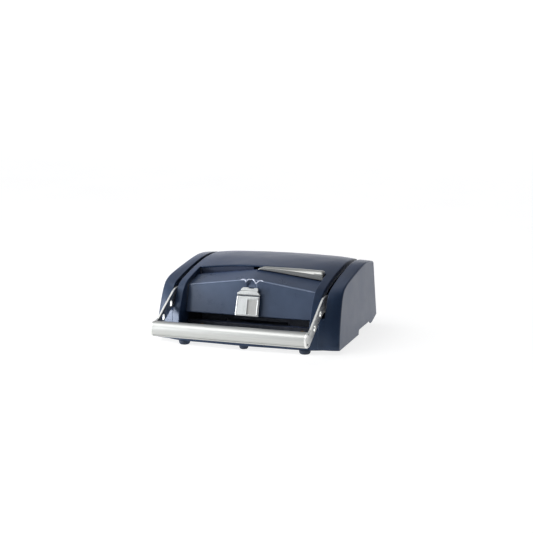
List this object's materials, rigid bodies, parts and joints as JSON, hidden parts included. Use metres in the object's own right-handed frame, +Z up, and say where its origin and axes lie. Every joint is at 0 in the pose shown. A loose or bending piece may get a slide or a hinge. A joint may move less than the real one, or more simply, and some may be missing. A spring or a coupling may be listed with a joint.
{
  "type": "desk binding press",
  "caption": "Hand-lever desk press with a wide bail handle, an arched casing, a front trough for cover spines and a cam-driven press jaw.",
  "frame": {"origin": "on the table under the middle of the machine's bounding box, handle down", "axes": "+X to the operator's right, +Y towards the rear, +Z up"},
  "size_m": [0.452, 0.476, 0.1794],
  "materials": {
    "casing_plastic": "satin slate navy, fine moulded grain",
    "dark_plastic": "satin, near black navy",
    "steel_plate": "dark grey powder coat",
    "bright_steel": "ground",
    "satin_aluminium": "satin anodised, drawn along its length",
    "foot_rubber": "matte",
    "bronze": "sintered bronze",
    "zinc_screw": "zinc plated",
    "spring_steel": "oil tempered"
  },
  "bodies": {
    "machine": {"base_apron": "casing_plastic", "base_plate": "steel_plate", "base_screws": "zinc_screw", "centre_cover": "casing_plastic", "centre_foot": "foot_rubber", "fixed_jaw": "steel_plate", "foot_screws": "zinc_screw", "frame_bolts": "zinc_screw", "front_feet": "foot_rubber", "front_panel": "casing_plastic", "guide_bar": "steel_plate", "guide_bushes": "bronze", "jaw_screws": "zinc_screw", "left_side_casing": "casing_plastic", "left_side_frame": "steel_plate", "rear_cover": "casing_plastic", "rear_cover_screws": "zinc_screw", "rear_cross_bar": "steel_plate", "rear_feet": "foot_rubber", "return_springs": "spring_steel", "right_side_casing": "casing_plastic", "right_side_frame": "steel_plate", "shaft_bushes": "bronze", "spine_rest": "dark_plastic", "storage_tray": "dark_plastic"},
    "handle": {"handle_shaft": "bright_steel", "left_arm": "satin_aluminium", "right_arm": "satin_aluminium", "handle_bar": "satin_aluminium", "handle_screws": "zinc_screw", "left_cam": "bright_steel", "right_cam": "bright_steel", "hub_collars": "bright_steel", "retaining_rings": "spring_steel"},
    "press": {"press_jaw": "bright_steel", "guide_rods": "bright_steel", "yoke": "steel_plate", "roller_pins": "bright_steel"},
    "left_cam_roller": {"left_roller": "bright_steel"},
    "right_cam_roller": {"right_roller": "bright_steel"},
    "centre_slide": {"slide_body": "satin_aluminium", "slide_cap": "satin_aluminium", "slide_collar": "satin_aluminium", "slide_carrier": "dark_plastic"},
    "stored_tool": {"debinding_tool": "satin_aluminium"}
  },
  "joints": [
    {"name": "handle_lift", "type": "hinge", "parent": "machine", "child": "handle", "pos_m": [0, 0.037, 0.062], "axis": [-1, 0, 0], "range_deg": [0, 110]},
    {"name": "press_slide", "type": "slide", "parent": "machine", "child": "press", "axis": [0, 1, 0], "range_m": [0, 0.0261], "deforming": ["return_springs"]},
    {"name": "left_roller_spin", "type": "hinge", "parent": "press", "child": "left_cam_roller", "pos_m": [-0.11, -0.023, 0.062], "axis": [1, 0, 0], "continuous": true},
    {"name": "right_roller_spin", "type": "hinge", "parent": "press", "child": "right_cam_roller", "pos_m": [0.11, -0.023, 0.062], "axis": [1, 0, 0], "continuous": true},
    {"name": "centre_slide_lift", "type": "slide", "parent": "machine", "child": "centre_slide", "axis": [0, 0.2989, 0.9543], "range_m": [0, 0.02]},
    {"name": "tool_pull", "type": "slide", "parent": "machine", "child": "stored_tool", "axis": [0, -1, 0], "range_m": [0, 0.06]}
  ],
  "couplings": [
    {"joint": "press_slide", "follows": "handle_lift", "m_per_rad": 0.013543}
  ]
}
